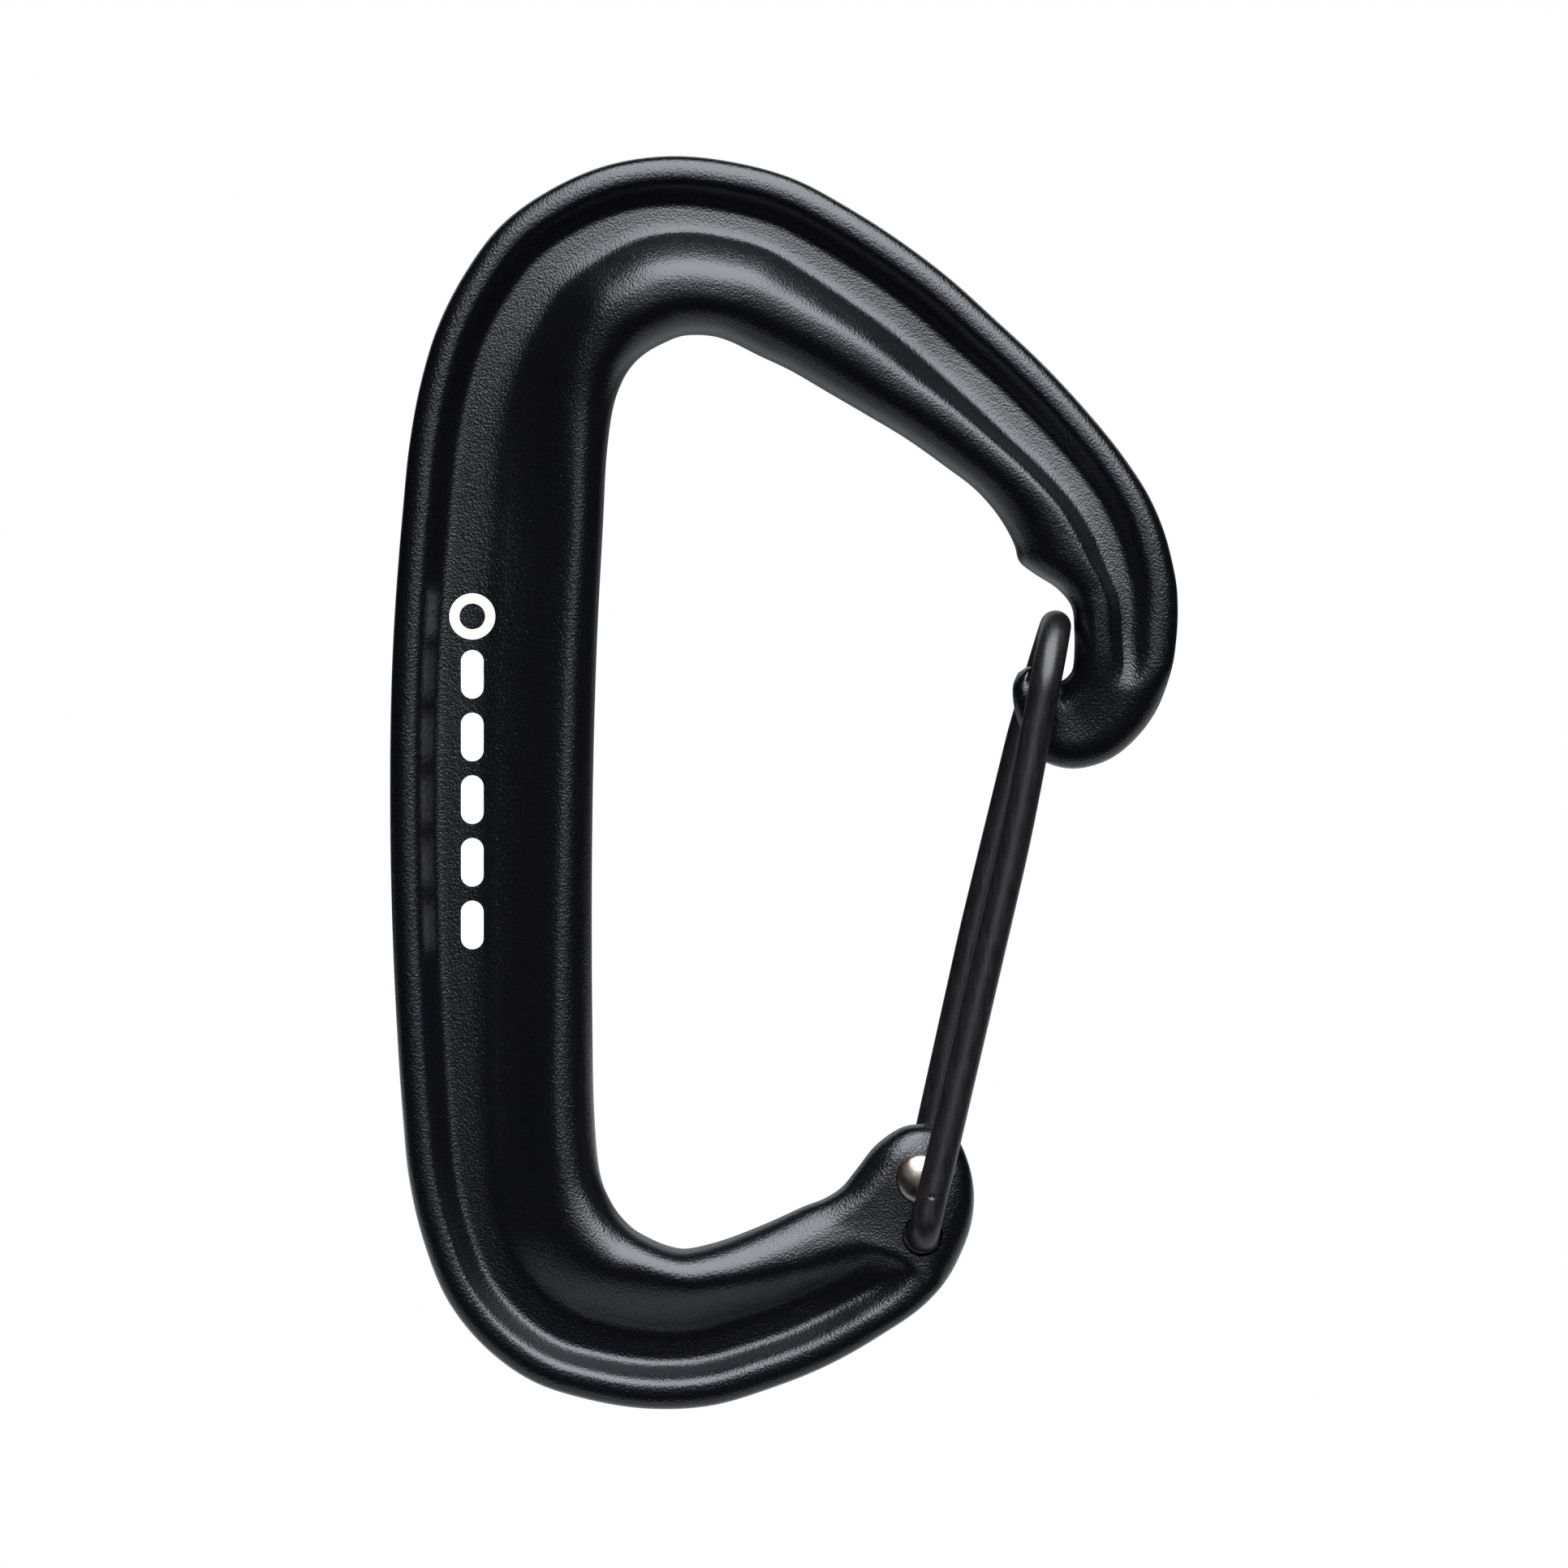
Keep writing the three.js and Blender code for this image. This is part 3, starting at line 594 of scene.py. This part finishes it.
def printed_mark(nodes, links, where):
    """1 inside the white print on the front of the spine: a plain ring over a row of rounded dashes."""
    def step(operation, first, second=None, third=None):
        return math_node(nodes, links, operation, first, second, third)

    axes = nodes.new("ShaderNodeSeparateXYZ")
    links.new(where, axes.inputs[0])
    x = step("SUBTRACT", axes.outputs["X"], MARK_X * MM)
    ring_z = step("SUBTRACT", axes.outputs["Z"], RING_Z * MM)
    reach = step("SQRT", step("ADD", step("MULTIPLY", x, x), step("MULTIPLY", ring_z, ring_z)))
    off_ring = step("ABSOLUTE", step("SUBTRACT", reach, RING_RADIUS * MM))
    ring = step("LESS_THAN", off_ring, RING_LINE / 2 * MM)

    dash_z = step("SUBTRACT", axes.outputs["Z"], DASH_TOP * MM)
    pitch = DASH_LENGTH + DASH_GAP
    in_dash = step("ABSOLUTE", step("WRAP", dash_z, pitch / 2 * MM, -pitch / 2 * MM))
    past_end = step("MAXIMUM", step("SUBTRACT", in_dash, (DASH_LENGTH - DASH_WIDTH) / 2 * MM), 0.0)
    reach = step("SQRT", step("ADD", step("MULTIPLY", x, x), step("MULTIPLY", past_end, past_end)))
    dash = step("LESS_THAN", reach, DASH_WIDTH / 2 * MM)
    row_centre = DASH_TOP - (DASH_COUNT - 1) / 2 * pitch
    middle = step("SUBTRACT", axes.outputs["Z"], row_centre * MM)
    in_row = step("LESS_THAN", step("ABSOLUTE", middle), DASH_COUNT / 2 * pitch * MM)
    row = step("MULTIPLY", dash, in_row)
    front = step("LESS_THAN", axes.outputs["Y"], 0.0)
    return step("MULTIPLY", step("MAXIMUM", ring, row), front)


def anodised_material():
    """Black anodised forging with its print."""
    material, nodes, links = new_material("anodised_black")
    shader = nodes["Principled BSDF"]
    shader.inputs["IOR"].default_value = ANODISED_IOR
    where = nodes.new("ShaderNodeTexCoord").outputs["Object"]
    mark = printed_mark(nodes, links, where)
    colour = nodes.new("ShaderNodeMix")
    colour.data_type = "RGBA"
    colour.inputs[MIX_FIRST].default_value = ANODISED_COLOUR
    colour.inputs[MIX_SECOND].default_value = PRINT_COLOUR
    links.new(mark, colour.inputs[MIX_FACTOR])
    links.new(colour.outputs[MIX_RESULT], shader.inputs["Base Color"])
    rough = between(nodes, links, mark, ANODISED_ROUGHNESS, PRINT_ROUGHNESS)
    links.new(rough, shader.inputs["Roughness"])
    grain = noise(nodes, links, where, GRAIN_SCALE)
    links.new(raised(nodes, links, grain, GRAIN_DEPTH), shader.inputs["Normal"])
    return material


def punch_dent(nodes, links, where):
    """0 in the punch mark and 1 outside it."""
    away = nodes.new("ShaderNodeVectorMath")
    away.operation = "DISTANCE"
    away.inputs[1].default_value = [value * MM for value in PUNCH_MARK]
    links.new(where, away.inputs[0])
    dent = nodes.new("ShaderNodeMapRange")
    dent.interpolation_type = "SMOOTHSTEP"
    dent.inputs["From Min"].default_value = PUNCH_FLAT * PUNCH_RADIUS * MM
    dent.inputs["From Max"].default_value = PUNCH_RADIUS * MM
    links.new(away.outputs["Value"], dent.inputs["Value"])
    return dent.outputs["Result"]


def wire_material():
    """Blackened steel wire, drawn lengthwise."""
    material, nodes, links = new_material("gate_steel")
    shader = nodes["Principled BSDF"]
    shader.inputs["IOR"].default_value = WIRE_IOR
    where = nodes.new("ShaderNodeTexCoord").outputs["Object"]
    along = nodes.new("ShaderNodeMapping")
    along.inputs["Rotation"].default_value = (0, -LEG_LEAN, 0)
    along.inputs["Scale"].default_value = (1, 1, STREAK_SQUEEZE)
    links.new(where, along.inputs["Vector"])
    streaks = noise(nodes, links, along.outputs["Vector"], STREAK_SCALE)
    colour = ramp(nodes, links, streaks, WIRE_TONES)
    links.new(colour, shader.inputs["Base Color"])
    patches = noise(nodes, links, where, PATCH_SCALE)
    rough = between(nodes, links, patches, *WIRE_ROUGHNESS)
    links.new(rough, shader.inputs["Roughness"])
    punch = raised(nodes, links, punch_dent(nodes, links, where), PUNCH_DEPTH)
    surface = raised(nodes, links, streaks, STREAK_DEPTH, punch)
    links.new(surface, shader.inputs["Normal"])
    return material


def head_material():
    """Bare steel of the headed wire ends, with fine wear."""
    material, nodes, links = new_material("bare_steel")
    shader = nodes["Principled BSDF"]
    shader.inputs["Metallic"].default_value = 1.0
    where = nodes.new("ShaderNodeTexCoord").outputs["Object"]
    wear = noise(nodes, links, where, WEAR_SCALE, WEAR_DETAIL)
    colour = ramp(nodes, links, wear, STEEL_TONES)
    links.new(colour, shader.inputs["Base Color"])
    rough = between(nodes, links, wear, *STEEL_ROUGHNESS)
    links.new(rough, shader.inputs["Roughness"])
    links.new(raised(nodes, links, wear, WEAR_DEPTH), shader.inputs["Normal"])
    return material


# ---- Stage, light and camera

# The camera looks along +y at a rectangle of VIEW_WIDTH metres round VIEW_CENTRE, x and z.
VIEW_WIDTH = 0.10023
VIEW_CENTRE = (0.00565, -0.0287)
SENSOR = 36.0
LENS = 400.0

# The lights face the middle of the object, and the pale floor lies below it.
LIGHT_AIM = (0.005, 0, -0.028)
LIGHT_COLOUR = (0.91, 0.94, 1)
FILL_COLOUR = (0.80, 0.80, 1, 1)
FILL_STRENGTH = 0.012
FLOOR_RADIUS = 0.13
FLOOR_HEIGHT = -0.086
FLOOR_SIDES = 96
FLOOR_COLOUR = (0.9, 0.9, 0.9, 1)


def make_camera():
    data = bpy.data.cameras.new("camera")
    data.sensor_width = SENSOR
    data.lens = LENS
    camera = bpy.data.objects.new("camera", data)
    distance = VIEW_WIDTH * LENS / SENSOR
    camera.location = (VIEW_CENTRE[0], -distance, VIEW_CENTRE[1])
    camera.rotation_euler = (math.pi / 2, 0, 0)
    bpy.context.scene.collection.objects.link(camera)
    bpy.context.scene.camera = camera


def softbox(name, spot, size, power):
    """A rectangular light at a spot, facing the middle of the object."""
    data = bpy.data.lights.new(name, "AREA")
    data.shape = "RECTANGLE"
    data.size, data.size_y = size
    data.energy = power
    data.color = LIGHT_COLOUR
    light = bpy.data.objects.new(name, data)
    light.location = spot
    aim = Vector(LIGHT_AIM) - Vector(spot)
    light.rotation_mode = "QUATERNION"
    light.rotation_quaternion = aim.to_track_quat("-Z", "Y")
    light.visible_camera = False
    bpy.context.scene.collection.objects.link(light)


def make_lights():
    softbox("top_front", (0.10, -0.45, 0.60), (0.95, 1.10), 20.0)
    softbox("front_glow", (0.08, -0.90, 0.10), (0.55, 0.24), 0.42)
    softbox("top_back", (0, 0.70, 0.30), (0.9, 0.30), 0.5)
    softbox("backdrop", (0, 0.70, -0.03), (0.75, 0.75), 0.3)
    softbox("bounce", (0, 0.03, -0.083), (0.30, 0.14), 0.08)


def make_floor():
    """A pale disc that the light bounces off, unseen in the object's gloss."""
    mesh = bpy.data.meshes.new("floor")
    angles = np.linspace(0, 2 * math.pi, FLOOR_SIDES, endpoint=False)
    corners = [
        (FLOOR_RADIUS * math.cos(angle), FLOOR_RADIUS * math.sin(angle), FLOOR_HEIGHT) for angle in angles
    ]
    mesh.from_pydata(corners, [], [tuple(range(FLOOR_SIDES))])
    floor = bpy.data.objects.new("floor", mesh)
    floor.visible_glossy = False
    material, nodes, _ = new_material("pale_floor")
    shader = nodes["Principled BSDF"]
    shader.inputs["Base Color"].default_value = FLOOR_COLOUR
    shader.inputs["Roughness"].default_value = 0.9
    shader.inputs["Specular IOR Level"].default_value = 0
    mesh.materials.append(material)
    bpy.context.scene.collection.objects.link(floor)


def make_world():
    """White to the camera, and a faint bluish fill to everything else."""
    world = bpy.data.worlds.new("studio")
    bpy.context.scene.world = world
    world.use_nodes = True
    nodes = world.node_tree.nodes
    links = world.node_tree.links
    nodes.clear()
    path = nodes.new("ShaderNodeLightPath")
    seen = nodes.new("ShaderNodeBackground")
    seen.inputs["Color"].default_value = (1, 1, 1, 1)
    fill = nodes.new("ShaderNodeBackground")
    fill.inputs["Color"].default_value = FILL_COLOUR
    fill.inputs["Strength"].default_value = FILL_STRENGTH
    join = nodes.new("ShaderNodeMixShader")
    out = nodes.new("ShaderNodeOutputWorld")
    links.new(path.outputs["Is Camera Ray"], join.inputs[0])
    links.new(fill.outputs[0], join.inputs[1])
    links.new(seen.outputs[0], join.inputs[2])
    links.new(join.outputs[0], out.inputs["Surface"])


# ---- The scene

make_camera()
make_world()
make_lights()
make_floor()
bpy.context.scene.view_settings.view_transform = "Standard"

forging = make_frame()
forging.data.materials.clear()
forging.data.materials.append(anodised_material())
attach(forging, "frame")
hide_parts("forged_frame")

steel = wire_material()
bare = head_material()
front_wire = make_front_wire()
front_wire.data.materials.append(steel)
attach(front_wire, "gate")
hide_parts("gate_front_wire")

rear_wire = make_rear_wire()
rear_wire.data.materials.append(steel)
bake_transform(rear_wire)
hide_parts("gate_rear_wire")

front_head = make_head("wire_head_back", PIVOT, 1)
front_head.data.materials.append(bare)
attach(front_head, "gate")
rear_head = make_head("wire_head_front", REAR_PIVOT, -1)
rear_head.data.materials.append(bare)
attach(rear_head, "gate_rear")
